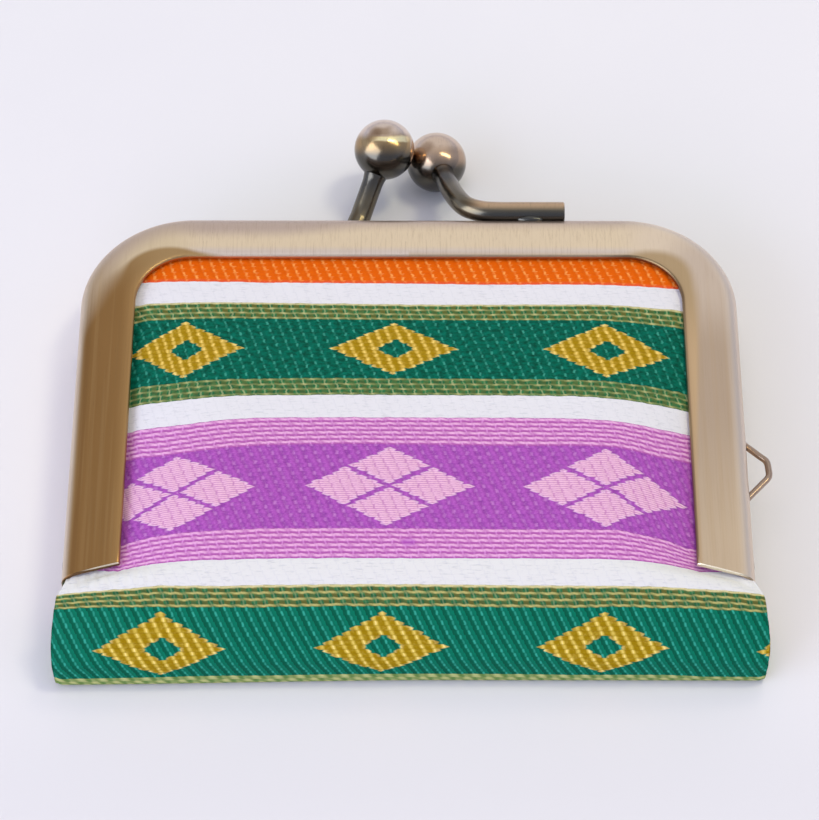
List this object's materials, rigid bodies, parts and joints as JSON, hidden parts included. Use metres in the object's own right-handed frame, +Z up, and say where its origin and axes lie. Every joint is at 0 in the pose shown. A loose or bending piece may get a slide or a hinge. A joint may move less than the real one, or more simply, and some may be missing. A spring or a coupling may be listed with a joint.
{
  "type": "clasp-frame coin purse",
  "caption": "Small woven-cloth coin purse with a hinged brass clasp frame, closed by crossed ball stems, lying on its back; the bag is hollow and a wire strap loop sits on a leg.",
  "frame": {"origin": "under the middle of the purse's box, on the surface it lies on", "axes": "+X across the purse to the strap loop's side, +Y from the bag's bottom to the clasp, +Z up out of the front face"},
  "size_m": [0.0672, 0.0638, 0.0102],
  "materials": {
    "frame_brass": "brushed antique brass, darker on the clasp",
    "rivet_brass": "dark antique brass",
    "brocade": "striped woven brocade in orange, white, green, gold, purple and pink"
  },
  "bodies": {
    "root": {"front_frame": "frame_brass", "back_frame": "frame_brass", "hinge_rivet_left": "rivet_brass", "hinge_rivet_right": "rivet_brass", "pouch_body": "brocade"}
  },
  "joints": []
}
